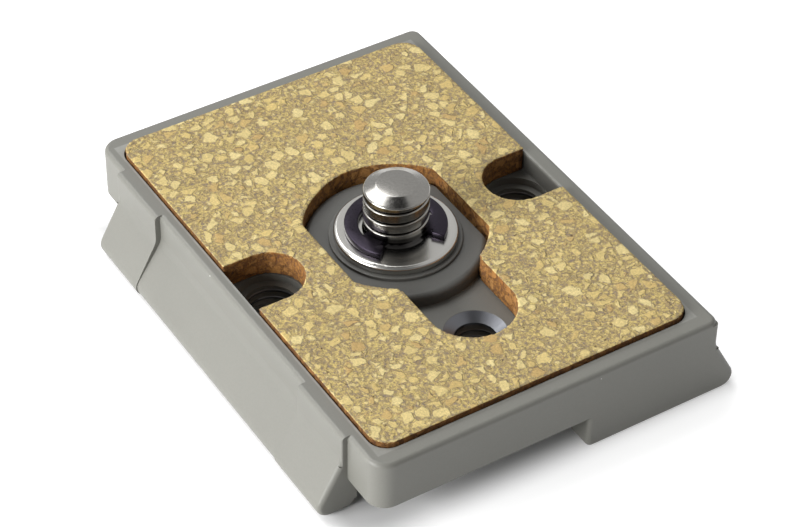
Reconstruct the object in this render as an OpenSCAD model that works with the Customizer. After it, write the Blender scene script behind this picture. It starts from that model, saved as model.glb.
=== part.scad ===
// Quick release plate with a cork top and a captive camera screw.
// The origin lies on the screw's axis, level with the feet. X runs across the rails, Y along them.

/* [Plate] */
// Length of the plate along its rails
plate_len = 52.5; // [46:0.5:70]
// Width across the feet of both rails
plate_w = 42.5; // [40:0.5:60]
// Height from the feet to the top of the rim
plate_h = 9.2; // [8.6:0.1:12]
// How far each foot stands out past the rim
flare = 2.45; // [1.5:0.05:3]
// Width of the rim round the pad
rim_w = 1.75; // [1.4:0.05:2.5]
// Rounding of the rim's outer edge
rim_round = 0.45; // [0.2:0.05:0.6]
// Corner radius on the side with the cut-back rail, seen from above
corner_r = 1.9; // [1:0.1:3]
// Corner radius on the side with the full rail, seen from above
full_corner_r = 1; // [0.6:0.1:1.5]
// Depth of the tray that holds the pad
tray_depth = 2.2; // [1.5:0.1:3]
// Thickness of the floor under the tray
floor_t = 2; // [1.5:0.1:2.5]
// Thickness of the end walls
end_wall_t = 3; // [2:0.1:4]
// Height of the end walls' lower edge above the feet
skirt_z = 3.9; // [3:0.1:4.5]

/* [Rails] */
// Width of a rail's foot
foot_w = 4; // [3:0.1:5]
// Height at which the outer wall starts to flare
neck_z = 6.1; // [5:0.1:6.5]
// Rounding of the neck
neck_r = 2; // [0.5:0.1:4]
// Rounding of the foot's outer edge
foot_r = 1.25; // [1.25:0.05:1.5]
// Distance from the plate's end to the cut-back rail
rail_inset = 5.05; // [3:0.05:8]
// Length of each raised stretch of the cut-back rail
land_len = 7.8; // [5:0.1:10]
// Step between the raised stretches and the wall beside them
land_step = 0.55; // [0.3:0.05:0.8]
// The same step at the foot
foot_step = 0.12; // [0.05:0.01:0.5]
// Length of the foot below each end wall
end_foot_len = 16.75; // [8:0.25:20]
// Rounding of the feet's and the cut-back rail's end edges
end_round = 0.45; // [0.2:0.05:0.6]

/* [Camera screw] */
// Diameter of the screw's thread
thread_d = 6.35; // [5:0.05:9.6]
// Height of the screw's tip above the rim
thread_reach = 5.8; // [4:0.1:8]
// Chamfer at the screw's tip
tip_chamfer = 0.5; // [0.3:0.1:1]
// Dome-like second chamfer's width at the tip
tip_land = 0.8; // [0.4:0.1:1.2]
// Diameter of the wide head under the plate
head_d = 16; // [13:0.5:19]
// Thickness of the wide head
head_t = 1.8; // [1.2:0.1:2.5]
// Diameter of the head's lower block
block_d = 11; // [9:0.5:12]
// Height of the head's lower block above the feet
block_clear = 0.9; // [0.5:0.1:1.5]
// Width of the coin slot
slot_w = 2.2; // [1.5:0.1:2.5]
// Depth of the coin slot
slot_depth = 1.5; // [1:0.1:1.6]
// How far the screw can be pushed up
lift = 0.6; // [0.3:0.1:1]

/* [Boss] */
// Diameter of the boss round the screw
boss_d = 17.6; // [16:0.1:20]
// Drop from the rim to the top of the boss
boss_drop = 0.8; // [0.5:0.1:1.5]
// Width of the boss between its two flats
boss_flats = 14.4; // [13.5:0.1:16]
// Rounding of the boss's upper edge
boss_round = 0.6; // [0.2:0.1:0.7]
// Width of the seat beyond the washer
seat_margin = 0.45; // [0.2:0.05:0.8]
// Height of the seat above the boss
seat_h = 0.3; // [0.1:0.05:0.5]
// Metal left between the seat and the head's recess
seat_web = 2.9; // [2.4:0.1:3.2]

/* [Washer and clip] */
// Outer diameter of the washer
washer_d = 12; // [11:0.1:14]
// Thickness of the washer
washer_t = 0.9; // [0.6:0.1:1.2]
// Rounding of the washer's upper edge
washer_round = 0.4; // [0.2:0.05:0.5]
// Outer diameter of the retaining clip
clip_d = 9.9; // [9:0.1:11]
// Thickness of the retaining clip
clip_t = 0.6; // [0.4:0.05:0.8]
// Depth of the clip's groove in the screw
groove_depth = 0.7; // [0.5:0.05:0.9]
// Width of the clip's open mouth, as an angle
mouth_angle = 84; // [60:1:100]
// Direction of the clip's mouth, as an angle
mouth_dir = -97; // [-180:1:180]
// Width of each of the clip's three prongs
prong_w = 2.2; // [1.5:0.1:3]

/* [Cork pad] */
// How far the pad stands above the rim
pad_proud = 0.55; // [0.3:0.05:1]
// Gap between the pad and the rim
pad_gap = 0.1; // [0.05:0.05:0.3]
// Corner radius of the pad
pad_corner_r = 2; // [1:0.1:3]
// Clearance between the pad and the boss
boss_gap = 0.4; // [0.2:0.05:0.8]
// Half the width of the pad's slot
slot_half = 4.35; // [4:0.05:4.4]
// Distance from the screw to the centre of the slot's round end
slot_reach = 12.95; // [11:0.05:14]
// Radius of each side notch
notch_r = 3.3; // [3:0.05:3.5]

/* [Tapped holes] */
// Distance from the screw to the pin hole
pin_reach = 14; // [12:0.1:14.5]
// Bore of the tapped pin hole
pin_bore = 4.14; // [3.2:0.02:4.5]
// Diameter of the countersink on the pin hole
pin_sink_d = 6.2; // [5:0.1:6.6]
// Depth of the countersink on the pin hole
pin_sink = 0.65; // [0.3:0.05:0.8]
// Bore of each tapped side hole
side_bore = 5.16; // [4.2:0.02:5.4]
// Distance from the pad's long edge to each side hole
side_inset = 3.25; // [3.25:0.05:4]
// Diameter of the counterbore on each side hole
side_sink_d = 6.5; // [6:0.1:7]
// Depth of the counterbore on each side hole
side_sink = 0.8; // [0.3:0.05:1]
// Wall round the tapped holes, under the floor
hole_wall = 1.3; // [1:0.1:1.5]
// Height of the tapped holes' lower ends above the feet
hole_boss_z = 3.9; // [3.7:0.1:4.6]

/* [Ring] */
// Wire diameter of the folding ring
wire_d = 1.5; // [1.2:0.1:1.7]
// Half the width of the ring, at its wire's centre
ring_half = 6.6; // [6.4:0.1:7.5]
// Length of the ring's straight arms
ring_arm = 2.4; // [2:0.1:4]
// Bend radius where the ring's arms turn in
ring_bend = 1.2; // [1:0.1:1.5]
// How deep each end of the ring goes into the head
ring_grip = 1.3; // [1:0.1:2]
// Gap between the folded ring and the wide head
ring_gap = 0.35; // [0.15:0.05:0.6]

/* [Ribs] */
// Thickness of the ribs under the floor
rib_t = 1.2; // [0.8:0.1:2]
// Height of the ribs under the floor
rib_h = 1.2; // [0.6:0.1:1.3]
// Distance of each rib from the middle
rib_x = 8; // [6:0.5:12]

/* [Fits] */
// Radial clearance between turning pieces
run_gap = 0.07; // [0.02:0.01:0.1]
// Gap between pieces that lie face to face but move
face_gap = 0.03; // [0.02:0.01:0.05]

/* [Hidden] */
$fn = 96;
eps = 0.01;

// Plate, seen from above
half_len = plate_len / 2;
foot_half = plate_w / 2;
rim_half = foot_half - flare;
wall_half = rim_half - land_step;
tray_x = rim_half - rim_w;
tray_y = half_len - rim_w;
pocket_x = foot_half - foot_w;
pocket_y = half_len - end_wall_t;
rail_y = half_len - rail_inset;
land_y = rail_y - land_len;
end_foot_x = foot_half - end_foot_len;
inner_r = 1;

// Heights above the feet
tray_z = plate_h - tray_depth;
floor_z = tray_z - floor_t;
boss_z = plate_h - boss_drop;
seat_z = boss_z + seat_h;
recess_z = seat_z - seat_web;
head_top = recess_z - lift - face_gap;
head_bottom = head_top - head_t;
ring_z = head_bottom - ring_gap - wire_d / 2;
washer_top = seat_z + washer_t;
clip_z = washer_top + face_gap;
groove_z = clip_z - face_gap;
groove_top = clip_z + clip_t + face_gap;
tip_z = plate_h + thread_reach;
pad_top = plate_h + pad_proud;

// Radii
thread_r = thread_d / 2;
bore_r = thread_r + run_gap;
groove_r = thread_r - groove_depth;
clip_bore = groove_r + run_gap;
clip_cavity = thread_r + 0.45;
clip_r = clip_d / 2;
head_r = head_d / 2;
block_r = block_d / 2;
recess_r = head_r + 0.4;
boss_r = boss_d / 2;
seat_r = washer_d / 2 + seat_margin;
wire_r = wire_d / 2;
ring_bore = wire_r + run_gap;
side_x = tray_x - side_inset;
opening_r = boss_r + boss_gap;
opening_half = boss_flats / 2 + boss_gap;

// Corner geometry: unit step from a to b, and how far a rounding of radius r reaches along each side
function unit(a, b) = (b - a) / norm(b - a);
function half_turn(a, p, b) = acos(min(1, max(-1, unit(p, a) * unit(p, b)))) / 2;
function reach(a, p, b, r) = r / tan(half_turn(a, p, b));
function centre(a, p, b, r) =
    let (u = unit(p, a), v = unit(p, b))
    p + (u + v) / norm(u + v) * r / sin(half_turn(a, p, b));
function turns_left(a, p, b) = (p[0] - a[0]) * (b[1] - p[1]) - (p[1] - a[1]) * (b[0] - p[0]) > 0;

// Outline through corners [x, y, r], listed anticlockwise, with true arcs of radius r
module soft_outline(corners) {
    n = len(corners);
    xy = [for (c = corners) [c[0], c[1]]];
    prev = function(i) xy[(i + n - 1) % n];
    next = function(i) xy[(i + 1) % n];
    path = [for (i = [0 : n - 1])
        for (side = [prev(i), next(i)])
            xy[i] + unit(xy[i], side) * reach(prev(i), xy[i], next(i), corners[i][2])];
    difference() {
        union() {
            polygon(path);
            for (i = [0 : n - 1])
                if (corners[i][2] > 0 && turns_left(prev(i), xy[i], next(i)))
                    translate(centre(prev(i), xy[i], next(i), corners[i][2]))
                        circle(r = corners[i][2]);
        }
        for (i = [0 : n - 1])
            if (corners[i][2] > 0 && !turns_left(prev(i), xy[i], next(i)))
                translate(centre(prev(i), xy[i], next(i), corners[i][2]))
                    circle(r = corners[i][2]);
    }
}

// Cut that leaves a quarter round of radius r, seen across an edge
module round_over(r) {
    difference() {
        square(r + 0.3);
        circle(r = r);
    }
}

// Rounds the far edge, on the plane z = h, of an extruded soft_outline at its corner i
module corner_cut(corners, i, h, r) {
    n = len(corners);
    at = function(k) [corners[k % n][0], corners[k % n][1]];
    a = at(i + n - 1);
    p = at(i);
    b = at(i + 1);
    bend = corners[i % n][2];
    left = turns_left(a, p, b);
    turn = 180 - 2 * half_turn(a, p, b);
    out = unit(a, p);
    heading = atan2(out[1], out[0]);
    if (bend > 0)
        translate(concat(centre(a, p, b, bend), [h - r]))
            rotate(left ? heading - 90 : heading + 90 - turn)
                rotate_extrude(angle = turn)
                    if (left)
                        translate([bend - r, 0]) round_over(r);
                    else
                        translate([bend + r, 0]) mirror([1, 0]) round_over(r);
}

// The same along the straight side from corner i to the next
module side_cut(corners, i, h, r) {
    n = len(corners);
    at = function(k) [corners[k % n][0], corners[k % n][1]];
    p = at(i);
    b = at(i + 1);
    step = unit(p, b);
    from = p + step * reach(at(i + n - 1), p, b, corners[i % n][2]);
    to = b - step * reach(p, b, at(i + 2), corners[(i + 1) % n][2]);
    translate([to[0], to[1], h - r])
        rotate([90, 0, atan2(step[1], step[0]) - 90])
            linear_extrude(norm(to - from))
                translate([-r, 0]) round_over(r);
}

// Rounds the far edge along the corners first to last
module edge_cut(corners, first, last, h, r) {
    for (i = [first : last]) {
        corner_cut(corners, i, h, r);
        if (i < last) side_cut(corners, i, h, r);
    }
}

module both_edges_cut(corners, first, last, h, r) {
    edge_cut(corners, first, last, h, r);
    translate([0, 0, h])
        mirror([0, 0, 1]) edge_cut(corners, first, last, h, r);
}

module soft_rect(x, y, r) {
    soft_outline([[-x, -y, r], [x, -y, r], [x, y, r], [-x, y, r]]);
}

// Plan of the plate: the cut-back side lies at -X and carries two raised lands
function land_side(y_sign) = y_sign > 0
    ? [[-wall_half, rail_y, 0], [-rim_half, rail_y, 0.15], [-rim_half, land_y, 0.15], [-wall_half, land_y, 0]]
    : [[-wall_half, -land_y, 0], [-rim_half, -land_y, 0.15], [-rim_half, -rail_y, 0.15], [-wall_half, -rail_y, 0]];

module plate_plan() {
    soft_outline(concat(
        [[-wall_half, -half_len, corner_r], [rim_half, -half_len, full_corner_r],
         [rim_half, half_len, full_corner_r], [-wall_half, half_len, corner_r]],
        land_side(1), land_side(-1)));
}

// The flare is tangent to the foot's rounding and passes through the neck
function foot_corner(neck_x, foot_x) =
    let (c = [foot_x - foot_r, foot_r],
         d = c - [neck_x, neck_z],
         turn = atan2(d[1], d[0]) + asin(foot_r / norm(d)))
    neck_x - neck_z / tan(turn);

function rail_corners(neck_x, foot_x) =
    let (top_z = plate_h - rim_round - eps)
    [[pocket_x, 0, inner_r], [foot_corner(neck_x, foot_x), 0, foot_r], [neck_x, neck_z, neck_r],
     [neck_x, top_z, 0], [pocket_x, top_z, 0]];

// Stretch of rail. A rounded end, towards -Y, is rounded from its foot up to the rim; the foot's own
// arc takes a slightly wider rounding than the sides next to it.
module rail(neck_x, foot_x, y0, y1, rounded) {
    corners = rail_corners(neck_x, foot_x);
    length = y1 - y0;
    translate([0, y1, 0])
        rotate([90, 0, 0])
            difference() {
                linear_extrude(length) soft_outline(corners);
                if (rounded) {
                    for (i = [0 : 2])
                        side_cut(corners, i, length, end_round);
                    corner_cut(corners, 0, length, end_round);
                    corner_cut(corners, 1, length, end_round + 0.02);
                    corner_cut(corners, 2, length, end_round);
                }
            }
}

module full_rail() {
    for (m = [0, 1])
        mirror([0, m, 0])
            rail(rim_half, foot_half, -half_len, 0, true);
}

module cut_back_rail() {
    rail(wall_half, foot_half - foot_step, -land_y - 1, land_y + 1, false);
    for (m = [0, 1])
        mirror([0, m, 0])
            rail(rim_half, foot_half, -rail_y, -land_y, true);
}

module end_foot() {
    corners = [
        [end_foot_x, 0, 0.6], [pocket_x + inner_r, 0, 0],
        [pocket_x + inner_r, skirt_z + 1, 0], [end_foot_x, skirt_z + 1, 0]];
    translate([0, -pocket_y, 0])
        rotate([90, 0, 0])
            difference() {
                linear_extrude(end_wall_t) soft_outline(corners);
                both_edges_cut(corners, 3, 5, end_wall_t, end_round);
            }
}

// Rounding of the rim's outer edge: the raised lands and the wall between them are cut one by one
module rim_rounding() {
    r = rim_round;
    around = [
        [-wall_half, -rail_y, 0], [-wall_half, -half_len, corner_r], [rim_half, -half_len, full_corner_r],
        [rim_half, half_len, full_corner_r], [-wall_half, half_len, corner_r], [-wall_half, rail_y, 0]];
    between = [[-wall_half, land_y, 0], [-wall_half, -land_y, 0], [0, 0, 0]];
    land = [[-rim_half, rail_y, 0], [-rim_half, land_y, 0], [0, 0, 0]];
    edge_cut(around, 0, 5, plate_h, r);
    edge_cut(between, 0, 1, plate_h, r);
    for (m = [0, 1])
        mirror([0, m, 0]) edge_cut(land, 0, 1, plate_h, r);
}

module deck() {
    translate([0, 0, skirt_z])
        linear_extrude(plate_h - skirt_z) plate_plan();
}

module tray_and_pocket() {
    translate([0, 0, tray_z])
        linear_extrude(tray_depth + 1) soft_rect(tray_x, tray_y, pad_corner_r);
    translate([0, 0, -1])
        linear_extrude(floor_z + 1) soft_rect(pocket_x, pocket_y, inner_r);
}

module boss() {
    intersection() {
        rotate_extrude()
            soft_outline([
                [0, tray_z - eps, 0], [boss_r, tray_z - eps, 0], [boss_r, boss_z, boss_round],
                [seat_r, boss_z, 0], [seat_r, seat_z, 0.1], [0, seat_z, 0]]);
        translate([-boss_flats / 2, -boss_r - 1, 0])
            cube([boss_flats, 2 * boss_r + 2, plate_h]);
    }
}

// Metal under the floor round the tapped holes, and the ribs that stiffen the floor
module hole_bosses() {
    h = floor_z - hole_boss_z + eps;
    translate([0, -pin_reach, hole_boss_z])
        cylinder(h = h, r = pin_bore / 2 + hole_wall);
    for (side = [-1, 1])
        translate([side * side_x, 0, hole_boss_z])
            cylinder(h = h, r = side_bore / 2 + hole_wall);
}

module ribs() {
    rib_from = recess_r + 2;
    for (mx = [0, 1], my = [0, 1])
        mirror([mx, 0, 0])
            mirror([0, my, 0])
                translate([rib_x - rib_t / 2, rib_from, floor_z - rib_h])
                    cube([rib_t, pocket_y - rib_from + eps, rib_h + eps]);
}

module sunk_hole(bore, sink_d, sink, tapered) {
    translate([0, 0, -eps])
        cylinder(h = plate_h, r = bore / 2);
    translate([0, 0, tray_z - sink])
        cylinder(h = sink + eps, r1 = tapered ? bore / 2 : sink_d / 2, r2 = sink_d / 2);
}

module holes() {
    cylinder(h = plate_h + 1, r = bore_r);
    translate([0, 0, -eps])
        cylinder(h = recess_z + eps, r = recess_r);
    translate([0, -pin_reach, 0])
        sunk_hole(pin_bore, pin_sink_d, pin_sink, true);
    for (side = [-1, 1])
        translate([side * side_x, 0, 0])
            sunk_hole(side_bore, side_sink_d, side_sink, false);
}

module plate_body() {
    color("dimgray")
        difference() {
            union() {
                difference() {
                    union() {
                        deck();
                        full_rail();
                        mirror([1, 0, 0]) cut_back_rail();
                        end_foot();
                        mirror([0, 1, 0]) end_foot();
                    }
                    tray_and_pocket();
                    rim_rounding();
                }
                boss();
                hole_bosses();
                ribs();
            }
            holes();
        }
}

module side_notch() {
    translate([side_x, 0])
        circle(r = notch_r);
    translate([side_x, -notch_r])
        square([tray_x, 2 * notch_r]);
}

module cork_pad() {
    color("burlywood")
        translate([0, 0, tray_z])
            linear_extrude(pad_top - tray_z)
                difference() {
                    soft_rect(tray_x - pad_gap, tray_y - pad_gap, pad_corner_r);
                    intersection() {
                        circle(r = opening_r);
                        square([2 * opening_half, 2 * opening_r], center = true);
                    }
                    translate([0, -slot_reach])
                        circle(r = slot_half);
                    translate([-slot_half, -slot_reach])
                        square([2 * slot_half, slot_reach]);
                    side_notch();
                    mirror([1, 0, 0]) side_notch();
                }
}

// Half of the screw's section, from its axis outwards
module screw_section() {
    polygon([
        [0, block_clear], [block_r - 0.3, block_clear], [block_r, block_clear + 0.3],
        [block_r, head_bottom], [head_r - 0.3, head_bottom], [head_r, head_bottom + 0.3],
        [head_r, head_top - 0.3], [head_r - 0.3, head_top], [thread_r, head_top],
        [thread_r, groove_z], [groove_r, groove_z], [groove_r, groove_top],
        [thread_r, groove_top], [thread_r, tip_z - tip_chamfer - 0.1],
        [thread_r - 0.3, tip_z - tip_chamfer], [thread_r - 0.3 - tip_land, tip_z], [0, tip_z]]);
}

module camera_screw() {
    color("slategray")
        difference() {
            rotate_extrude() screw_section();
            translate([-slot_w / 2, -block_r - 1, block_clear - 1])
                cube([slot_w, 2 * block_r + 2, slot_depth + 1]);
            for (side = [-1, 1])
                translate([side * (block_r - ring_grip), 0, ring_z])
                    rotate([0, side * 90, 0])
                        cylinder(h = ring_grip + 1, r = ring_bore);
        }
}

module screw_washer() {
    color("silver")
        rotate_extrude()
            soft_outline([
                [bore_r, seat_z, 0], [washer_d / 2, seat_z, 0.15],
                [washer_d / 2, washer_top, washer_round], [bore_r, washer_top, 0]]);
}

// Wedge from the centre, turned to a direction
module wedge(dir, angle) {
    far = clip_r * 2;
    rotate(dir)
        polygon([[0, 0], [far, -far * tan(angle / 2)], [far, far * tan(angle / 2)]]);
}

module prong(dir) {
    rotate(dir)
        translate([0, -prong_w / 2])
            square([clip_cavity + 0.2, prong_w]);
}

module retaining_clip() {
    side_prong = mouth_angle / 2 + 24;
    color("black")
        translate([0, 0, clip_z])
            linear_extrude(clip_t)
                difference() {
                    union() {
                        difference() {
                            circle(r = clip_r);
                            circle(r = clip_cavity);
                            wedge(mouth_dir, mouth_angle);
                        }
                        prong(mouth_dir + 180);
                        prong(mouth_dir + side_prong);
                        prong(mouth_dir - side_prong);
                    }
                    circle(r = clip_bore);
                }
}

module ring_half_shape() {
    arm_start = block_r - ring_grip + run_gap;
    translate([arm_start, 0, 0])
        rotate([0, 90, 0])
            cylinder(h = ring_half - ring_bend - arm_start, r = wire_r);
    translate([ring_half - ring_bend, -ring_bend, 0])
        rotate_extrude(angle = 90)
            translate([ring_bend, 0]) circle(r = wire_r);
    translate([ring_half, -ring_bend, 0])
        rotate([90, 0, 0])
            cylinder(h = ring_arm - ring_bend, r = wire_r);
    translate([0, -ring_arm, 0])
        rotate(-90)
            rotate_extrude(angle = 90)
                translate([ring_half, 0]) circle(r = wire_r);
}

module screw_ring() {
    color("lightgray")
        translate([0, 0, ring_z]) {
            ring_half_shape();
            mirror([1, 0, 0]) ring_half_shape();
        }
}

plate_body();
cork_pad();
camera_screw();
screw_washer();
retaining_clip();
screw_ring();
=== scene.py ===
import math

import bmesh
import bpy
import numpy as np
from mathutils import Matrix, Vector


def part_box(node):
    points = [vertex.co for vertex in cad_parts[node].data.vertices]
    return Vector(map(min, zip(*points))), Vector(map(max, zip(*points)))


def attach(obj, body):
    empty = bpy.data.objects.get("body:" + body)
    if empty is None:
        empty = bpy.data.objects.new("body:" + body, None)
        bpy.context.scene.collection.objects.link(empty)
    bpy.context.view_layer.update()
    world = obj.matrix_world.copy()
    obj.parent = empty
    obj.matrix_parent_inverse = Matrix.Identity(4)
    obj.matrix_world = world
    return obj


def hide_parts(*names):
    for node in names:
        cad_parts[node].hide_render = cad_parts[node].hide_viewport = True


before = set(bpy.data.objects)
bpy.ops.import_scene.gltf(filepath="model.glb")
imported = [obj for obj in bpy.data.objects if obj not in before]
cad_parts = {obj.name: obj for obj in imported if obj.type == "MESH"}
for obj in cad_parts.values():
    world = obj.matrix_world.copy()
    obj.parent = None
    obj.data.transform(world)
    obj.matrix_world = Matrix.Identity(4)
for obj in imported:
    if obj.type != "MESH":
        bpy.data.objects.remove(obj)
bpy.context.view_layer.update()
scene = bpy.context.scene
mm = 0.001
floatSocket, vectorSocket = "NodeSocketFloat", "NodeSocketVector"
geometrySocket, materialSocket = "NodeSocketGeometry", "NodeSocketMaterial"


# Helpers for meshes

def newObject(name, mesh):
    obj = bpy.data.objects.new(name, mesh)
    scene.collection.objects.link(obj)
    return obj


def copyOfNode(source, name):
    # A CAD mesh is loose triangles, so the copy's doubles are merged
    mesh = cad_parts[source].data.copy()
    build = bmesh.new()
    build.from_mesh(mesh)
    bmesh.ops.remove_doubles(build, verts=build.verts, dist=0.001 * mm)
    build.to_mesh(mesh)
    build.free()
    mesh.materials.clear()
    return newObject(name, mesh)


def applied(obj):
    # The evaluated result becomes the object's own plain mesh, and its modifiers go
    bpy.context.view_layer.update()
    graph = bpy.context.evaluated_depsgraph_get()
    mesh = bpy.data.meshes.new_from_object(obj.evaluated_get(graph), depsgraph=graph)
    obj.modifiers.clear()
    obj.data = mesh
    return obj


def smoothByAngle(mesh, degrees):
    for face in mesh.polygons:
        face.use_smooth = True
    mesh.set_sharp_from_angle(angle=math.radians(degrees))


# Helpers for node trees

def node(tree, kind, sockets=None, **values):
    # A socket given as a value is linked, and a number or a vector is set
    made = tree.nodes.new(kind)
    for key, value in values.items():
        setattr(made, key, value)
    for key, value in (sockets or {}).items():
        if isinstance(value, bpy.types.NodeSocket):
            tree.links.new(value, made.inputs[key])
        else:
            made.inputs[key].default_value = value
    return made


def calc(tree, operation, a, b=0.0, c=0.0):
    return node(tree, "ShaderNodeMath", {0: a, 1: b, 2: c}, operation=operation).outputs[0]


def scaled(tree, vector, factor):
    return node(tree, "ShaderNodeVectorMath", {0: vector, "Scale": factor}, operation="SCALE").outputs[0]


def mixColour(tree, factor, a, b, blend="MIX"):
    a, b = (value if isinstance(value, bpy.types.NodeSocket) else (*value, 1) for value in (a, b))
    sockets = {0: factor, 6: a, 7: b}
    return node(tree, "ShaderNodeMix", sockets, data_type="RGBA", blend_type=blend).outputs[2]


def spread(tree, value, low, high, outLow=0.0, outHigh=1.0, smooth=False):
    sockets = {0: value, 1: low, 2: high, 3: outLow, 4: outHigh}
    kind = "SMOOTHSTEP" if smooth else "LINEAR"
    return node(tree, "ShaderNodeMapRange", sockets, interpolation_type=kind).outputs[0]


def ramp(tree, value, stops):
    made = node(tree, "ShaderNodeValToRGB", {0: value})
    elements = made.color_ramp.elements
    while len(elements) < len(stops):
        elements.new(0.5)
    for element, (place, colour) in zip(elements, stops):
        element.position = place
        element.color = (*colour, 1)
    return made.outputs[0]


def noise(tree, where, scale, detail, roughness):
    sockets = {"Vector": where, "Scale": scale, "Detail": detail, "Roughness": roughness}
    return node(tree, "ShaderNodeTexNoise", sockets).outputs


def placeInMm(tree):
    where = tree.nodes.new("ShaderNodeTexCoord").outputs["Object"]
    return node(tree, "ShaderNodeMapping", {"Vector": where, "Scale": (1 / mm, 1 / mm, 1 / mm)}).outputs[0]


def axes(tree, where):
    return node(tree, "ShaderNodeSeparateXYZ", {"Vector": where}).outputs


def pastEdges(tree, axis, halfX, halfY):
    # How far outside a rectangle round the origin a place lies, below 0 inside it
    offX = calc(tree, "SUBTRACT", calc(tree, "ABSOLUTE", axis[0]), halfX)
    offY = calc(tree, "SUBTRACT", calc(tree, "ABSOLUTE", axis[1]), halfY)
    return calc(tree, "MAXIMUM", offX, offY)


def awayFrom(tree, axis, x, y):
    offX = calc(tree, "SUBTRACT", axis[0], x)
    offY = calc(tree, "SUBTRACT", axis[1], y)
    return calc(tree, "SQRT", calc(tree, "MULTIPLY_ADD", offX, offX, calc(tree, "MULTIPLY", offY, offY)))


def bumpOf(tree, height, depth, strength=1.0):
    sockets = {"Strength": strength, "Distance": depth * mm, "Height": height}
    return node(tree, "ShaderNodeBump", sockets).outputs[0]


def newMaterial(name):
    material = bpy.data.materials.new(name)
    material.use_nodes = True
    tree = material.node_tree
    return material, tree, tree.nodes["Principled BSDF"].inputs


def newGroup(name, inputs, outputs):
    group = bpy.data.node_groups.new(name, "ShaderNodeTree")
    group.interface.new_socket("Vector", in_out="INPUT", socket_type=vectorSocket)
    for label, value in inputs.items():
        group.interface.new_socket(label, in_out="INPUT", socket_type=floatSocket).default_value = value
    for label in outputs:
        group.interface.new_socket(label, in_out="OUTPUT", socket_type=floatSocket)
    return group, group.nodes.new("NodeGroupInput").outputs, group.nodes.new("NodeGroupOutput").inputs


def useGroup(tree, group, **values):
    return node(tree, "ShaderNodeGroup", values, node_tree=group).outputs


def newShapeTree(name, inputs):
    tree = bpy.data.node_groups.new(name, "GeometryNodeTree")
    tree.is_modifier = True
    for label, kind in [("Geometry", geometrySocket), *inputs, ("Material", materialSocket)]:
        tree.interface.new_socket(label, in_out="INPUT", socket_type=kind)
    tree.interface.new_socket("Geometry", in_out="OUTPUT", socket_type=geometrySocket)
    return tree, tree.nodes.new("NodeGroupInput").outputs


def endShapeTree(tree, shape, material):
    real = node(tree, "GeometryNodeRealizeInstances", {"Geometry": shape}).outputs[0]
    done = node(tree, "GeometryNodeSetMaterial", {"Geometry": real, "Material": material}).outputs[0]
    tree.links.new(done, tree.nodes.new("NodeGroupOutput").inputs[0])
    return tree


def runTree(obj, tree, values):
    # Inputs are set by the socket's identifier, then the result replaces the mesh
    modifier = obj.modifiers.new(tree.name, "NODES")
    modifier.node_group = tree
    for item in tree.interface.items_tree:
        if item.item_type == "SOCKET" and item.in_out == "INPUT" and item.name in values:
            modifier[item.identifier] = values[item.name]
    return applied(obj)


# Camera at the photograph's angle: degrees, and millimetres from the top of the rim
cameraView = {
    "azimuth": -32.77, "elevation": 41.67, "roll": 1.056,
    "lens": 121.37, "sensor": 36, "distance": 256.775, "right": 0.3948, "down": 3.205, "aimHeight": 9.2}


def addCamera(view):
    a, e, r = (math.radians(view[k]) for k in ("azimuth", "elevation", "roll"))
    back = Vector((math.sin(a) * math.cos(e), -math.cos(a) * math.cos(e), math.sin(e)))
    level = (-back).cross(Vector((0, 0, 1))).normalized()
    upright = level.cross(-back)
    right = level * math.cos(r) + upright * math.sin(r)
    up = upright * math.cos(r) - level * math.sin(r)
    place = right * view["right"] - up * view["down"] + back * view["distance"]
    place.z += view["aimHeight"]
    data = bpy.data.cameras.new("photoView")
    data.lens, data.sensor_width = view["lens"], view["sensor"]
    data.clip_start, data.clip_end = 0.01, 10
    camera = newObject("photoView", data)
    camera.matrix_world = Matrix.Translation(place * mm) @ Matrix((right, up, back)).transposed().to_4x4()
    scene.camera = camera


addCamera(cameraView)
print("camera placed")

# Shared finishes: grain for painted and bare metal, and scattered dust


def buildGrainGroup():
    group, given, out = newGroup("fineGrain", {"Size": 0.3, "Spread": 0.2}, ("Tone", "Height"))
    fine = noise(group, given["Vector"], calc(group, "DIVIDE", 1.0, given["Size"]), 3, 0.6)[0]
    broad = noise(group, given["Vector"], 0.12, 2, 0.5)[0]
    both = calc(group, "MULTIPLY_ADD", fine, 0.6, calc(group, "MULTIPLY", broad, 0.4))
    low = calc(group, "SUBTRACT", 1.0, given["Spread"])
    high = calc(group, "ADD", 1.0, given["Spread"])
    group.links.new(spread(group, both, 0.3, 0.7, low, high), out["Tone"])
    group.links.new(fine, out["Height"])
    return group


def buildDustGroup():
    # One cell in several holds a speck, and the specks differ in size
    group, given, out = newGroup("dustSpecks", {"Spacing": 3.0, "Size": 0.06, "Share": 0.25}, ("Mask",))
    cells = node(group, "ShaderNodeTexVoronoi", {
        "Vector": given["Vector"], "Scale": calc(group, "DIVIDE", 1.0, given["Spacing"])}).outputs
    picks = node(group, "ShaderNodeSeparateColor", {"Color": cells["Color"]}).outputs
    distance = calc(group, "MULTIPLY", cells["Distance"], given["Spacing"])
    present = calc(group, "LESS_THAN", picks[0], given["Share"])
    size = calc(group, "MULTIPLY", given["Size"], calc(group, "ADD", 0.4, picks[1]))
    spot = calc(group, "LESS_THAN", distance, size)
    group.links.new(calc(group, "MULTIPLY", spot, present), out["Mask"])
    return group


fineGrain = buildGrainGroup()
dustSpecks = buildDustGroup()

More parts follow.
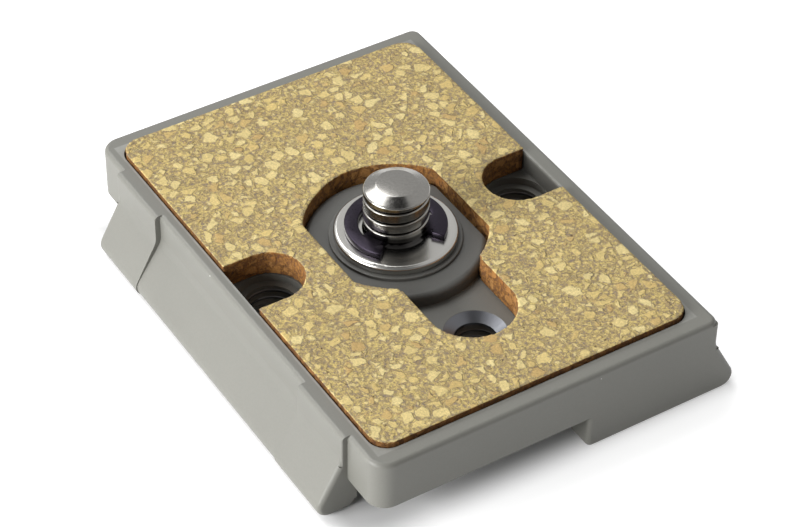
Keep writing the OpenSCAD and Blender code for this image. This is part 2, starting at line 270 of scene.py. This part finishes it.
# Plate: satin powder coat over a die casting, with painted shade down in the tray, and rubbed on the rim
plateFinish = {
    "colour": (0.185, 0.183, 0.162), "trayShade": (0.092, 0.091, 0.083), "specks": (0.75, 0.75, 0.7),
    "rubbed": (0.30, 0.30, 0.275), "bare": (0.17, 0.175, 0.19), "roughness": 0.45, "roughSpread": 0.05,
    "grain": 0.22, "grainSpread": 0.05, "grainDepth": 0.004,
    "speckSpacing": 2.6, "speckSize": 0.07, "speckShare": 0.16,
    "tray": (17.05, 24.5), "trayEdge": (-0.05, 0.25), "trayTop": (8.75, 9.0), "trayUnder": (4.9, 5.0),
    "trayFloor": 7.0, "floorShare": 0.5, "rimEdge": (0.12, 0.3), "rimTop": (8.9, 9.1),
    "wear": (0.3, 0.65, 0.35, 0.9), "sink": (0, -14), "sinkR": 3.2, "sinkFrom": (6.0, 6.1),
    "bareMetal": 0.9, "bareGloss": 0.15}


def platePaint(finish):
    material, tree, shader = newMaterial("platePaint")
    where = placeInMm(tree)
    axis = axes(tree, where)
    height, floor = axis[2], finish["trayFloor"]
    grain = useGroup(tree, fineGrain, Vector=where, Size=finish["grain"], Spread=finish["grainSpread"])
    dust = useGroup(tree, dustSpecks, Vector=where, Spacing=finish["speckSpacing"], Size=finish["speckSize"],
                    Share=finish["speckShare"])
    off = pastEdges(tree, axis, *finish["tray"])
    under = spread(tree, height, *finish["trayUnder"])
    inHeight = calc(tree, "MULTIPLY", spread(tree, height, *finish["trayTop"], 1, 0), under)
    # The tray's floor and its holes take only a part of the painted shade
    onFloor = spread(tree, height, floor, floor + 0.1, finish["floorShare"], 1)
    inHeight = calc(tree, "MULTIPLY", inHeight, onFloor)
    # Painted shade inside the tray, below the rim top and above the underside, fading out at the tray's edge
    trayShadeMask = calc(tree, "MULTIPLY", spread(tree, off, *finish["trayEdge"], 1, 0), inHeight)
    colour = scaled(tree, mixColour(tree, trayShadeMask, finish["colour"], finish["trayShade"]), grain["Tone"])
    wear = spread(tree, noise(tree, where, 0.7, 3, 0.6)[0], *finish["wear"])
    onRim = spread(tree, off, *finish["rimEdge"], 1, 0, True)
    onRim = calc(tree, "MULTIPLY", onRim, spread(tree, height, *finish["rimTop"]))
    colour = mixColour(tree, calc(tree, "MULTIPLY", onRim, wear), colour, finish["rubbed"])
    colour = mixColour(tree, dust["Mask"], colour, finish["specks"])
    # Bare metal in the pin hole's countersink
    bare = calc(tree, "LESS_THAN", awayFrom(tree, axis, *finish["sink"]), finish["sinkR"])
    bare = calc(tree, "MULTIPLY", bare, spread(tree, height, floor - 0.03, floor - 0.01, 1, 0))
    bare = calc(tree, "MULTIPLY", bare, spread(tree, height, *finish["sinkFrom"]))
    tree.links.new(mixColour(tree, bare, colour, finish["bare"]), shader["Base Color"])
    tree.links.new(calc(tree, "MULTIPLY", bare, finish["bareMetal"]), shader["Metallic"])
    low, high = finish["roughness"] - finish["roughSpread"], finish["roughness"] + finish["roughSpread"]
    rough = spread(tree, grain["Tone"], 0.9, 1.1, low, high)
    polished = calc(tree, "MULTIPLY", bare, finish["bareGloss"])
    tree.links.new(calc(tree, "SUBTRACT", rough, polished), shader["Roughness"])
    tree.links.new(bumpOf(tree, grain["Height"], finish["grainDepth"]), shader["Normal"])
    return material


# Cork: pale chips of two sizes pressed into a darker crumb, redder and with painted shade on its cut walls
corkFinish = {
    "chip": 1.2, "chipShare": 0.68, "fines": 0.66, "finesShare": 0.78, "crumb": 0.3, "gap": 0.16,
    "finesGap": 0.112, "blur": 0.17, "roughness": 0.85, "specular": 0.25,
    "chipPale": (0.71, 0.585, 0.28), "chipTan": (0.62, 0.475, 0.19), "chipBrown": (0.50, 0.34, 0.14),
    "crumbPale": (0.62, 0.485, 0.18), "crumbBrown": (0.35, 0.26, 0.125), "crumbGrey": (0.225, 0.18, 0.145),
    "seam": (0.155, 0.12, 0.09), "pit": (0.10, 0.06, 0.035), "wallTintAndShade": (0.56, 0.34, 0.23),
    "edgeShade": (0.33, 0.19, 0.13), "edge": (16.3, 23.7), "relief": 0.07, "reliefStrength": 0.8}


def buildChipGroup():
    inputs = {"Size": 1.5, "Gap": 0.15, "Blur": 0.1, "Share": 0.6}
    group, given, out = newGroup("corkChips", inputs, ("Chip", "Seam", "Pick", "Height"))
    # The cells are bent, so that the chips aren't straight-sided
    bend = noise(group, given["Vector"], 2.0, 3, 0.6)
    shift = node(group, "ShaderNodeVectorMath", {0: bend["Color"], 1: (0.5, 0.5, 0.5)}, operation="SUBTRACT")
    shift = scaled(group, shift.outputs[0], 0.6)
    where = node(group, "ShaderNodeVectorMath", {0: given["Vector"], 1: shift}, operation="ADD").outputs[0]
    sockets = {"Vector": where, "Scale": calc(group, "DIVIDE", 1.0, given["Size"])}
    cells = node(group, "ShaderNodeTexVoronoi", sockets).outputs
    edges = node(group, "ShaderNodeTexVoronoi", sockets, feature="DISTANCE_TO_EDGE").outputs
    picks = node(group, "ShaderNodeSeparateColor", {"Color": cells["Color"]}).outputs
    inside = calc(group, "MULTIPLY", edges["Distance"], given["Size"])
    start = calc(group, "MULTIPLY", given["Gap"], picks[2])
    solid = spread(group, inside, start, calc(group, "ADD", start, given["Blur"]), 0, 1, True)
    chosen = calc(group, "LESS_THAN", picks[1], given["Share"])
    chip = calc(group, "MULTIPLY", solid, chosen)
    outline = calc(group, "MULTIPLY", solid, calc(group, "SUBTRACT", 1.0, solid))
    outline = calc(group, "MULTIPLY", calc(group, "MULTIPLY", outline, 4.0), chosen)
    partly = spread(group, bend[0], 0.42, 0.58)
    group.links.new(chip, out["Chip"])
    group.links.new(calc(group, "MULTIPLY", outline, partly), out["Seam"])
    group.links.new(picks[0], out["Pick"])
    group.links.new(calc(group, "MULTIPLY", chip, calc(group, "ADD", 0.4, picks[2])), out["Height"])
    return group


corkChips = buildChipGroup()


def corkMaterial(finish):
    material, tree, shader = newMaterial("pressedCork")
    where = placeInMm(tree)
    big = useGroup(tree, corkChips, Vector=where, Size=finish["chip"], Gap=finish["gap"],
                   Blur=finish["blur"], Share=finish["chipShare"])
    small = useGroup(tree, corkChips, Vector=where, Size=finish["fines"], Gap=finish["finesGap"],
                     Blur=finish["blur"], Share=finish["finesShare"])
    crumb = noise(tree, where, 1 / finish["crumb"], 3, 0.7)[0]
    crumbs = ramp(tree, crumb, [
        (0.34, finish["crumbGrey"]), (0.47, finish["crumbBrown"]), (0.62, finish["crumbPale"])])
    tan = finish["chipTan"]
    tones = [(0.0, finish["chipBrown"]), (0.2, tan), (0.6, finish["chipPale"]), (1.0, tan)]
    fines = ramp(tree, small["Pick"], tones)
    colour = mixColour(tree, calc(tree, "MULTIPLY", small["Chip"], 0.85), crumbs, fines)
    colour = mixColour(tree, calc(tree, "MULTIPLY", small["Seam"], 0.6), colour, finish["seam"])
    colour = mixColour(tree, big["Chip"], colour, ramp(tree, big["Pick"], tones))
    colour = mixColour(tree, calc(tree, "MULTIPLY", big["Seam"], 0.7), colour, finish["seam"])
    blotch = spread(tree, noise(tree, where, 0.3, 4, 0.6)[0], 0.3, 0.7, 0.92, 1.08)
    fleck = noise(tree, where, 4.0, 4, 0.75)[0]
    tone = calc(tree, "MULTIPLY", spread(tree, fleck, 0.3, 0.7, 0.72, 1.26), blotch)
    pits = spread(tree, noise(tree, where, 1.9, 2, 0.5)[0], 0.715, 0.76, 0, 0.75, True)
    pitted = mixColour(tree, pits, scaled(tree, colour, tone), finish["pit"])
    # Cut walls are redder and carry painted shade, and the pad's outside wall takes the darkest painted
    # shade
    facing = axes(tree, tree.nodes.new("ShaderNodeNewGeometry").outputs["True Normal"])
    wall = spread(tree, facing[2], 0.45, 0.8, 1, 0)
    outsideShadeMask = spread(tree, pastEdges(tree, axes(tree, where), *finish["edge"]), 0, 0.2)
    # Wall colour: partly the redder cut cork, partly painted shade
    tintAndShade = mixColour(tree, outsideShadeMask, finish["wallTintAndShade"], finish["edgeShade"])
    tree.links.new(mixColour(tree, wall, pitted, tintAndShade, "MULTIPLY"), shader["Base Color"])
    shader["Roughness"].default_value = finish["roughness"]
    shader["Specular IOR Level"].default_value = finish["specular"]
    height = calc(tree, "MAXIMUM", big["Height"], calc(tree, "MULTIPLY", small["Height"], 0.7))
    height = calc(tree, "ADD", height, calc(tree, "MULTIPLY", fleck, 0.5))
    height = calc(tree, "SUBTRACT", height, pits)
    tree.links.new(bumpOf(tree, height, finish["relief"], finish["reliefStrength"]), shader["Normal"])
    return material


# Metals: dark nickel screw with painted shade in its grooves and at its neck, bright washer, black clip and
# spring wire
metals = {
    "screwNickel": {
        "colour": (0.32, 0.31, 0.29), "roughness": 0.19, "spread": 0.1, "grain": 0.25, "depth": 0.001,
        "grooveShade": {"colour": (0.02, 0.018, 0.018), "groove": (2.98, 3.1, 0.9, 0), "neck": (10.6, 10.9, 0.85, 0),
                "tip": (14.1, 14.3, 1, 0), "head": (5.2, 5.6)}},
    "washerNickel": {
        "colour": (0.54, 0.53, 0.50), "roughness": 0.22, "spread": 0.02, "grain": 0.3, "depth": 0.0005},
    "clipBlack": {
        "colour": (0.032, 0.027, 0.037), "roughness": 0.3, "spread": 0.12, "grain": 0.2, "depth": 0.001},
    "ringWire": {
        "colour": (0.55, 0.54, 0.52), "roughness": 0.28, "spread": 0.08, "grain": 0.3, "depth": 0.001},
    "cutThread": {
        "colour": (0.12, 0.12, 0.12), "roughness": 0.4, "spread": 0.1, "grain": 0.2, "depth": 0.001}}
metalDust = {"spacing": 1.8, "size": 0.05, "share": 0.2, "colour": (0.5, 0.5, 0.48)}


def grooveShadeMask(tree, axis, grooveShade):
    # Painted shade: dark inside the crest's radius and down at the clip, but not on the tip or the head
    mask = spread(tree, awayFrom(tree, axis, 0, 0), *grooveShade["groove"], True)
    mask = calc(tree, "MULTIPLY", mask, spread(tree, axis[2], *grooveShade["tip"]))
    mask = calc(tree, "MAXIMUM", mask, spread(tree, axis[2], *grooveShade["neck"], True))
    return calc(tree, "MULTIPLY", mask, spread(tree, axis[2], *grooveShade["head"]))


def metalMaterial(name, finish, specks):
    material, tree, shader = newMaterial(name)
    where = placeInMm(tree)
    grain = useGroup(tree, fineGrain, Vector=where, Size=finish["grain"], Spread=finish["spread"])
    dust = useGroup(tree, dustSpecks, Vector=where, Spacing=specks["spacing"], Size=specks["size"],
                    Share=specks["share"])
    toned = scaled(tree, finish["colour"], grain["Tone"])
    colour = mixColour(tree, dust["Mask"], toned, specks["colour"])
    if "grooveShade" in finish:
        # Painted shade in the thread's grooves and round the neck at the clip
        shadeAmount = grooveShadeMask(tree, axes(tree, where), finish["grooveShade"])
        colour = mixColour(tree, shadeAmount, colour, finish["grooveShade"]["colour"])
    rough = spread(tree, grain["Tone"], 0.9, 1.1, finish["roughness"] - 0.04, finish["roughness"] + 0.06)
    tree.links.new(colour, shader["Base Color"])
    tree.links.new(rough, shader["Roughness"])
    shader["Metallic"].default_value = 1.0
    tree.links.new(bumpOf(tree, grain["Height"], finish["depth"]), shader["Normal"])
    return material


paint = platePaint(plateFinish)
cork = corkMaterial(corkFinish)
metal = {name: metalMaterial(name, finish, metalDust) for name, finish in metals.items()}


def dress(name, material):
    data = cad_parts[name].data
    for i in range(len(data.materials)):
        data.materials[i] = material
    if not data.materials:
        data.materials.append(material)


dress("plate_body", paint)
dress("screw_washer", metal["washerNickel"])
dress("screw_ring", metal["ringWire"])
print("finishes made")

# Cork pad: the CAD pad with a closer opening, remeshed finely and roughened where it was pressed and cut
padShape = {
    "voxel": 0.19, "topDip": 0.035, "wallDip": 0.12, "topSkin": 0.2, "openingR": 8.84, "wideR": 9.2,
    "wideFrom": 20, "wideTo": 105, "blend": 15, "leftFlat": 7.45, "rightFlat": 7.62,
    "bandR": 10.2, "bandSteps": 140, "slotHalf": 4.36, "slotMargin": 0.3}


def buildReliefTree():
    inputs = [(label, floatSocket) for label in ("Top dip", "Wall dip", "Top from")]
    tree, given = newShapeTree("corkRelief", inputs)
    place = tree.nodes.new("GeometryNodeInputPosition").outputs[0]
    facing = tree.nodes.new("GeometryNodeInputNormal").outputs[0]
    inMm = scaled(tree, place, 1 / mm)
    wallDip = calc(tree, "MULTIPLY", noise(tree, inMm, 1.1, 2, 0.5)[0], given["Wall dip"])
    topDip = calc(tree, "MULTIPLY", noise(tree, inMm, 4.0, 2, 0.6)[0], given["Top dip"])
    onTop = calc(tree, "GREATER_THAN", axes(tree, place)[2], given["Top from"])
    wallDip = calc(tree, "MULTIPLY", wallDip, calc(tree, "SUBTRACT", 1.0, onTop))
    dip = calc(tree, "ADD", wallDip, calc(tree, "MULTIPLY", topDip, onTop))
    offset = scaled(tree, facing, calc(tree, "MULTIPLY", dip, -1.0))
    moved = node(tree, "GeometryNodeSetPosition", {"Geometry": given["Geometry"], "Offset": offset})
    return endShapeTree(tree, moved.outputs[0], given["Material"])


def openingRadius(shape, degrees):
    # The cut follows the boss closely, and is wider on the far right
    middle, half = (shape["wideFrom"] + shape["wideTo"]) / 2, (shape["wideTo"] - shape["wideFrom"]) / 2
    near = (half + shape["blend"] - abs(degrees - middle)) / (2 * shape["blend"])
    near = max(0.0, min(1.0, near))
    r = shape["openingR"] + (shape["wideR"] - shape["openingR"]) * near * near * (3 - 2 * near)
    across = math.cos(math.radians(degrees))
    flat = shape["rightFlat"] if across > 0 else shape["leftFlat"]
    return min(r, flat / max(abs(across), 1e-3))


def closeOpening(mesh, shape, low, high):
    # A C-shaped band that the remesh welds to the pad, open towards the slot
    start = shape["slotMargin"] - math.degrees(math.acos(shape["slotHalf"] / shape["openingR"]))
    build = bmesh.new()
    build.from_mesh(mesh)
    rows = []
    for i in range(shape["bandSteps"] + 1):
        degrees = start + (180 - 2 * start) * i / shape["bandSteps"]
        a = math.radians(degrees)
        radii = (openingRadius(shape, degrees), shape["bandR"])
        ring = [(r * math.cos(a) * mm, r * math.sin(a) * mm) for r in radii]
        rows.append([build.verts.new((*place, z)) for z in (low, high) for place in ring])
    for a, b in zip(rows, rows[1:]):
        for i, j in ((0, 2), (2, 3), (3, 1), (1, 0)):
            build.faces.new((a[i], b[i], b[j], a[j]))
    build.faces.new([rows[0][i] for i in (0, 2, 3, 1)])
    build.faces.new([rows[-1][i] for i in (1, 3, 2, 0)])
    bmesh.ops.recalc_face_normals(build, faces=build.faces)
    build.to_mesh(mesh)
    build.free()


def makeCorkPad(shape):
    pad = copyOfNode("cork_pad", "corkPad")
    low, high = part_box("cork_pad")
    closeOpening(pad.data, shape, low.z, high.z)
    remesh = pad.modifiers.new("even", "REMESH")
    remesh.mode = "VOXEL"
    remesh.voxel_size = shape["voxel"] * mm
    remesh.use_smooth_shade = True
    applied(pad)
    runTree(pad, buildReliefTree(), {
        "Top dip": shape["topDip"] * mm, "Wall dip": shape["wallDip"] * mm,
        "Top from": high.z - shape["topSkin"] * mm, "Material": cork})
    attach(pad, "plate")
    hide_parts("cork_pad")
    print("cork pad", len(pad.data.polygons), "faces")


makeCorkPad(padShape)

# Camera screw: the CAD screw below the cut, and a rolled right-hand thread as a second closed shell on it
threadShape = {
    "radius": 3.175, "depth": 0.42, "pitch": 1.27, "cut": 10.28, "top": 15.0, "crest": 0.68, "root": 0.03,
    "flank": 1.6, "runOutFrom": 10.26, "runOut": 0.35, "grooveHeight": 12.76, "grooveAngle": -53.5,
    "steps": 128, "rows": 150, "smooth": 32,
    "tip": [(10.0, 3.175), (14.34, 3.175), (14.46, 3.08), (14.95, 2.04), (14.98, 1.97), (15.0, 1.9)]}


def threadRadius(shape, height, angle):
    # Off is 0 at the groove's middle and 1 at the crest's
    turn = (height - shape["grooveHeight"]) / shape["pitch"] - (angle - shape["grooveAngle"]) / 360
    off = np.abs(turn - np.round(turn)) * 2
    rise = np.clip((off - shape["root"]) / (1 - shape["crest"] - shape["root"]), 0, 1)
    dip = shape["depth"] * (1 - rise) ** shape["flank"]
    dip = dip * np.clip((height - shape["runOutFrom"]) / shape["runOut"], 0, 1)
    tipHeights, tipRadii = zip(*shape["tip"])
    return float(np.minimum(shape["radius"] - dip, np.interp(height, tipHeights, tipRadii)))


def addThread(build, shape):
    steps = shape["steps"]
    rings = []
    for z in np.linspace(shape["cut"], shape["top"], shape["rows"]):
        ring = []
        for i in range(steps):
            angle = 360 * i / steps
            r = threadRadius(shape, z, angle) * mm
            a = math.radians(angle)
            ring.append(build.verts.new((r * math.cos(a), r * math.sin(a), z * mm)))
        rings.append(ring)
    tip = build.verts.new((0, 0, shape["top"] * mm))
    base = build.verts.new((0, 0, shape["cut"] * mm))
    for i in range(steps):
        j = (i + 1) % steps
        for lower, upper in zip(rings, rings[1:]):
            build.faces.new((lower[i], lower[j], upper[j], upper[i]))
        build.faces.new((rings[-1][i], rings[-1][j], tip))
        build.faces.new((rings[0][j], rings[0][i], base))


def makeScrew(shape):
    screw = copyOfNode("camera_screw", "cameraScrew")
    build = bmesh.new()
    build.from_mesh(screw.data)
    everything = build.verts[:] + build.edges[:] + build.faces[:]
    bmesh.ops.bisect_plane(build, geom=everything, dist=1e-7, plane_co=(0, 0, shape["cut"] * mm),
                           plane_no=(0, 0, 1), clear_outer=True)
    addThread(build, shape)
    bmesh.ops.holes_fill(build, edges=[e for e in build.edges if e.is_boundary])
    bmesh.ops.recalc_face_normals(build, faces=build.faces)
    build.to_mesh(screw.data)
    build.free()
    screw.data.materials.append(metal["screwNickel"])
    smoothByAngle(screw.data, shape["smooth"])
    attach(screw, "screw")
    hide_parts("camera_screw")
    print("camera screw", len(screw.data.polygons), "faces")


makeScrew(threadShape)

# Retaining clip: the CAD clip with its punched edges softened
clipShape = {"edge": 0.09, "segments": 3, "sharpest": 50, "flattest": 0.5, "smooth": 40}


def makeClip(shape):
    clip = copyOfNode("retaining_clip", "retainingClip")
    build = bmesh.new()
    build.from_mesh(clip.data)
    flattest = math.radians(shape["flattest"])
    bmesh.ops.dissolve_limit(build, angle_limit=flattest, verts=build.verts, edges=build.edges)
    build.to_mesh(clip.data)
    build.free()
    bevel = clip.modifiers.new("punchedEdge", "BEVEL")
    bevel.width = shape["edge"] * mm
    bevel.segments = shape["segments"]
    bevel.limit_method = "ANGLE"
    bevel.angle_limit = math.radians(shape["sharpest"])
    applied(clip)
    clip.data.materials.append(metal["clipBlack"])
    smoothByAngle(clip.data, shape["smooth"])
    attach(clip, "clip")
    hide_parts("retaining_clip")


makeClip(clipShape)
print("clip made")

# Tapped holes: a fine spiral ridge inside each bore
ridgeShape = {"steps": 64, "sides": 6, "share": 0.2, "sunk": 0.05, "smooth": 60}
tappedHoles = {
    "pinThread": {"centre": (0, -14), "bore": 2.07, "bottom": 3.95, "top": 6.15, "pitch": 0.8},
    "fullSideThread": {"centre": (13.8, 0), "bore": 2.58, "bottom": 3.95, "top": 5.75, "pitch": 0.9},
    "cutSideThread": {"centre": (-13.8, 0), "bore": 2.58, "bottom": 3.95, "top": 5.75, "pitch": 0.9}}


def buildThreadTree(shape):
    inputs = [(label, floatSocket) for label in ("Bore", "Turns", "Length", "Ridge")]
    tree, given = newShapeTree("tappedRidge", [*inputs, ("Place", vectorSocket)])
    spiral = node(tree, "GeometryNodeCurveSpiral", {
        "Resolution": shape["steps"], "Rotations": given["Turns"], "Start Radius": given["Bore"],
        "End Radius": given["Bore"], "Height": given["Length"], "Reverse": False})
    profile = node(tree, "GeometryNodeCurvePrimitiveCircle", {
        "Resolution": shape["sides"], "Radius": given["Ridge"]})
    swept = node(tree, "GeometryNodeCurveToMesh", {
        "Curve": spiral.outputs[0], "Profile Curve": profile.outputs[0], "Fill Caps": True})
    moved = node(tree, "GeometryNodeTransform", {
        "Geometry": swept.outputs[0], "Translation": given["Place"]})
    return endShapeTree(tree, moved.outputs[0], given["Material"])


def makeRidge(name, hole, shape, tree):
    length = hole["top"] - hole["bottom"]
    ridge = newObject(name, bpy.data.meshes.new(name))
    runTree(ridge, tree, {
        "Bore": (hole["bore"] + shape["sunk"]) * mm, "Turns": length / hole["pitch"], "Length": length * mm,
        "Ridge": shape["share"] * hole["pitch"] * mm, "Material": metal["cutThread"],
        "Place": Vector((*hole["centre"], hole["bottom"])) * mm})
    smoothByAngle(ridge.data, shape["smooth"])
    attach(ridge, "plate")


threadTree = buildThreadTree(ridgeShape)
for name, hole in tappedHoles.items():
    makeRidge(name, hole, ridgeShape, threadTree)
print("tapped holes made")

# Floor, world and lamps: pale surroundings, with the key light low on the left
studio = {
    "floorSize": 3.0, "floorHeight": -0.00005, "floorColour": 0.75, "floorLift": 0.6,
    "liftFrom": (0.0185, 0.0235), "liftOver": 0.0045, "worldStrength": 0.38, "glossy": 0.9,
    "darkPatches": [
        {"way": (0.10, -0.99, 0.05), "edge": 0.6, "core": 0.97, "share": 0.45},
        {"way": (-0.404, -0.628, 0.665), "edge": 0.75, "core": 0.95, "share": 0.35},
        {"way": (0.02, -0.10, 0.99), "edge": 0.935, "core": 0.975, "share": 0.03}],
    "keyLight": {"from": (-0.61, 0.0, 0.20), "size": (0.42, 0.30), "power": 5.9},
    "topLight": {"from": (-0.10, 0.42, 0.62), "size": (0.5, 0.5), "power": 3.6}}


def addLamp(name, settings):
    data = bpy.data.lights.new(name, "AREA")
    data.shape = "RECTANGLE"
    data.size, data.size_y = settings["size"]
    data.energy = settings["power"]
    lamp = newObject(name, data)
    lamp.location = settings["from"]
    lamp.rotation_euler = Vector(settings["from"]).to_track_quat("Z", "Y").to_euler()


def addFloor(settings):
    half, height = settings["floorSize"] / 2, settings["floorHeight"]
    corners = [(-half, -half, height), (half, -half, height), (half, half, height), (-half, half, height)]
    mesh = bpy.data.meshes.new("floor")
    mesh.from_pydata(corners, [], [(0, 1, 2, 3)])
    floor = newObject("floor", mesh)
    material, tree, shader = newMaterial("paleFloor")
    shader["Base Color"].default_value = (*(settings["floorColour"],) * 3, 1)
    shader["Roughness"].default_value = 0.9
    shader["Specular IOR Level"].default_value = 0.1
    # The lift to white fades out under the plate, where it would shine up through the holes
    path = tree.nodes.new("ShaderNodeLightPath").outputs
    seen = calc(tree, "MAXIMUM", path["Is Glossy Ray"], path["Is Transmission Ray"])
    seen = calc(tree, "MAXIMUM", path["Is Camera Ray"], seen)
    axis = axes(tree, tree.nodes.new("ShaderNodeTexCoord").outputs["Object"])
    clear = spread(tree, pastEdges(tree, axis, *settings["liftFrom"]), 0, settings["liftOver"], 0, 1, True)
    lift = calc(tree, "MULTIPLY", calc(tree, "MULTIPLY", seen, clear), settings["floorLift"])
    tree.links.new(lift, shader["Emission Strength"])
    shader["Emission Color"].default_value = (1, 1, 1, 1)
    mesh.materials.append(material)


def setWorld(settings):
    # White to the camera, and a pale room with darker patches to everything else
    world = bpy.data.worlds.new("studio")
    world.use_nodes = True
    scene.world = world
    tree = world.node_tree
    background = tree.nodes["Background"].inputs
    background["Color"].default_value = (1, 1, 1, 1)
    path = tree.nodes.new("ShaderNodeLightPath").outputs
    way = tree.nodes.new("ShaderNodeTexCoord").outputs["Generated"]
    room = settings["worldStrength"]
    for patch in settings["darkPatches"]:
        facing = node(tree, "ShaderNodeVectorMath", {0: way, 1: patch["way"]}, operation="DOT_PRODUCT")
        shade = spread(tree, facing.outputs["Value"], patch["edge"], patch["core"], 1, patch["share"], True)
        room = calc(tree, "MULTIPLY", room, shade)
    glossy = calc(tree, "MULTIPLY", path["Is Glossy Ray"], settings["glossy"])
    room = calc(tree, "MULTIPLY", room, calc(tree, "ADD", 1.0, glossy))
    seen = calc(tree, "MAXIMUM", path["Is Camera Ray"], path["Is Transmission Ray"])
    unseen = calc(tree, "MULTIPLY", room, calc(tree, "SUBTRACT", 1.0, seen))
    tree.links.new(calc(tree, "ADD", unseen, seen), background["Strength"])


addFloor(studio)
setWorld(studio)
for name in ("keyLight", "topLight"):
    addLamp(name, studio[name])
scene.view_settings.view_transform = "Standard"
print("studio set")
